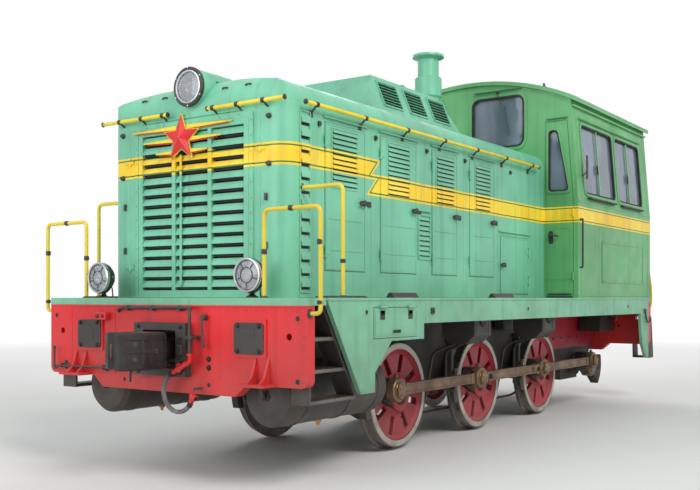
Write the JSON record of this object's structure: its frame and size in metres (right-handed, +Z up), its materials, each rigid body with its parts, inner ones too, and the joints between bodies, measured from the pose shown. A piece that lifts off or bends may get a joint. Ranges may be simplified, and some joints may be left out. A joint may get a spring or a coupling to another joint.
{
  "type": "diesel shunting locomotive",
  "caption": "Three-axle diesel shunting locomotive with side rods and jackshaft, long engine hood with opening doors and a wide rear cab.",
  "frame": {"origin": "middle of the length and width, on the plane that the wheel flanges touch; the rail top lies 28 mm higher", "axes": "+X forward, towards the engine hood; +Y to the driver's left; +Z up"},
  "size_m": [9.68, 3.234, 4.4999],
  "materials": {
    "hood_paint": "satin enamel, weathered",
    "skirt_paint": "satin enamel",
    "cab_paint": "satin enamel",
    "red_paint": "satin enamel",
    "wheel_paint": "enamel, steel treads",
    "black_paint": "matt, oily",
    "rod_steel": "oiled forged steel",
    "yellow_paint": "gloss enamel",
    "window_glass": "clear",
    "engine_paint": "matt",
    "desk_paint": "satin",
    "seat_leather": "worn",
    "lamp_metal": "bright rim",
    "coupler_iron": "rough cast",
    "hose_rubber": "matt"
  },
  "bodies": {
    "root": {"main_frame": "black_paint", "deck": "hood_paint", "front_beam": "red_paint", "rear_beam": "red_paint", "skirt_left": "skirt_paint", "skirt_right": "skirt_paint", "steps": "black_paint", "air_tanks": "black_paint", "suspension": "black_paint", "brake_gear": "black_paint", "sand_boxes": "black_paint", "engine_block": "engine_paint", "transmission": "black_paint", "hood_side_left": "hood_paint", "hood_side_right": "hood_paint", "hood_front": "hood_paint", "hood_roof": "hood_paint", "front_grille": "hood_paint", "roof_box": "hood_paint", "exhaust_stack": "hood_paint", "horns": "black_paint", "cab_body": "cab_paint", "cab_roof": "cab_paint", "cab_windows": "window_glass", "control_desk": "desk_paint", "driver_seats": "seat_leather", "lamps": "lamp_metal", "handrails": "yellow_paint", "brake_hoses": "hose_rubber"},
    "locker_lid_left": {"locker_lid_left": "skirt_paint"},
    "locker_lid_right": {"locker_lid_right": "skirt_paint"},
    "wheelset_front": {"wheelset_front": "wheel_paint"},
    "wheelset_middle": {"wheelset_middle": "wheel_paint"},
    "wheelset_rear": {"wheelset_rear": "wheel_paint"},
    "jackshaft": {"jackshaft": "rod_steel"},
    "side_rod_left": {"side_rod_left": "rod_steel"},
    "side_rod_right": {"side_rod_right": "rod_steel"},
    "hood_door_left_1": {"hood_door_left_1": "hood_paint"},
    "hood_door_left_2": {"hood_door_left_2": "hood_paint"},
    "hood_door_left_3": {"hood_door_left_3": "hood_paint"},
    "hood_door_left_4": {"hood_door_left_4": "hood_paint"},
    "hood_door_right_1": {"hood_door_right_1": "hood_paint"},
    "hood_door_right_2": {"hood_door_right_2": "hood_paint"},
    "hood_door_right_3": {"hood_door_right_3": "hood_paint"},
    "hood_door_right_4": {"hood_door_right_4": "hood_paint"},
    "hatch_door_left": {"hatch_door_left": "hood_paint"},
    "hatch_door_right": {"hatch_door_right": "hood_paint"},
    "cab_door_left": {"cab_door_left": "cab_paint", "cab_door_glass_left": "window_glass"},
    "cab_door_right": {"cab_door_right": "cab_paint", "cab_door_glass_right": "window_glass"},
    "coupler_front": {"coupler_front": "coupler_iron"},
    "coupler_rear": {"coupler_rear": "coupler_iron"}
  },
  "joints": [
    {"name": "wheelset_front_spin", "type": "hinge", "parent": "root", "child": "wheelset_front", "pos_m": [1.86, 0, 0.553], "axis": [0, 1, 0], "continuous": true},
    {"name": "wheelset_middle_spin", "type": "hinge", "parent": "root", "child": "wheelset_middle", "pos_m": [0.11, 0, 0.553], "axis": [0, 1, 0], "continuous": true},
    {"name": "wheelset_rear_spin", "type": "hinge", "parent": "root", "child": "wheelset_rear", "pos_m": [-1.64, 0, 0.553], "axis": [0, 1, 0], "continuous": true},
    {"name": "jackshaft_spin", "type": "hinge", "parent": "root", "child": "jackshaft", "pos_m": [-3.39, 0, 0.553], "axis": [0, 1, 0], "continuous": true},
    {"name": "side_rod_left_pin", "type": "hinge", "parent": "wheelset_front", "child": "side_rod_left", "pos_m": [2.14978, 0.995, 0.63065], "axis": [0, 1, 0], "continuous": true},
    {"name": "side_rod_right_pin", "type": "hinge", "parent": "wheelset_front", "child": "side_rod_right", "pos_m": [1.78235, -0.995, 0.84278], "axis": [0, 1, 0], "continuous": true},
    {"name": "hood_door_left_1_hinge", "type": "hinge", "parent": "root", "child": "hood_door_left_1", "pos_m": [3.386, 1.062, 2.39], "axis": [0, 0, -1], "range_deg": [0, 100]},
    {"name": "hood_door_left_2_hinge", "type": "hinge", "parent": "root", "child": "hood_door_left_2", "pos_m": [2.516, 1.062, 2.39], "axis": [0, 0, -1], "range_deg": [0, 100]},
    {"name": "hood_door_left_3_hinge", "type": "hinge", "parent": "root", "child": "hood_door_left_3", "pos_m": [1.551, 1.062, 2.39], "axis": [0, 0, -1], "range_deg": [0, 100]},
    {"name": "hood_door_left_4_hinge", "type": "hinge", "parent": "root", "child": "hood_door_left_4", "pos_m": [0.731, 1.062, 2.39], "axis": [0, 0, -1], "range_deg": [0, 100]},
    {"name": "hatch_door_left_hinge", "type": "hinge", "parent": "root", "child": "hatch_door_left", "pos_m": [-0.821, 1.062, 1.9], "axis": [0, 0, 1], "range_deg": [0, 95]},
    {"name": "cab_door_left_hinge", "type": "hinge", "parent": "root", "child": "cab_door_left", "pos_m": [-1.283, 1.441, 2.6], "axis": [0, 0, 1], "range_deg": [0, 95]},
    {"name": "locker_lid_left_hinge", "type": "hinge", "parent": "root", "child": "locker_lid_left", "pos_m": [2.957, 1.517, 1.441], "axis": [1, 0, 0], "range_deg": [0, 100]},
    {"name": "hood_door_right_1_hinge", "type": "hinge", "parent": "root", "child": "hood_door_right_1", "pos_m": [3.386, -1.062, 2.39], "axis": [0, 0, 1], "range_deg": [0, 100]},
    {"name": "hood_door_right_2_hinge", "type": "hinge", "parent": "root", "child": "hood_door_right_2", "pos_m": [2.516, -1.062, 2.39], "axis": [0, 0, 1], "range_deg": [0, 100]},
    {"name": "hood_door_right_3_hinge", "type": "hinge", "parent": "root", "child": "hood_door_right_3", "pos_m": [1.551, -1.062, 2.39], "axis": [0, 0, 1], "range_deg": [0, 100]},
    {"name": "hood_door_right_4_hinge", "type": "hinge", "parent": "root", "child": "hood_door_right_4", "pos_m": [0.731, -1.062, 2.39], "axis": [0, 0, 1], "range_deg": [0, 100]},
    {"name": "hatch_door_right_hinge", "type": "hinge", "parent": "root", "child": "hatch_door_right", "pos_m": [-0.821, -1.062, 1.9], "axis": [0, 0, -1], "range_deg": [0, 95]},
    {"name": "cab_door_right_hinge", "type": "hinge", "parent": "root", "child": "cab_door_right", "pos_m": [-1.283, -1.441, 2.6], "axis": [0, 0, -1], "range_deg": [0, 95]},
    {"name": "locker_lid_right_hinge", "type": "hinge", "parent": "root", "child": "locker_lid_right", "pos_m": [2.957, -1.517, 1.441], "axis": [-1, 0, 0], "range_deg": [0, 100]},
    {"name": "coupler_front_swing", "type": "hinge", "parent": "root", "child": "coupler_front", "pos_m": [3.95, 0, 1.09], "axis": [0, 0, 1], "range_deg": [-8, 8]},
    {"name": "coupler_rear_swing", "type": "hinge", "parent": "root", "child": "coupler_rear", "pos_m": [-3.95, 0, 1.09], "axis": [0, 0, 1], "range_deg": [-8, 8]}
  ],
  "couplings": [
    {"joint": "wheelset_middle_spin", "follows": "wheelset_front_spin", "ratio": 1},
    {"joint": "wheelset_rear_spin", "follows": "wheelset_front_spin", "ratio": 1},
    {"joint": "jackshaft_spin", "follows": "wheelset_front_spin", "ratio": 1},
    {"joint": "side_rod_left_pin", "follows": "wheelset_front_spin", "ratio": -1},
    {"joint": "side_rod_right_pin", "follows": "wheelset_front_spin", "ratio": -1}
  ]
}
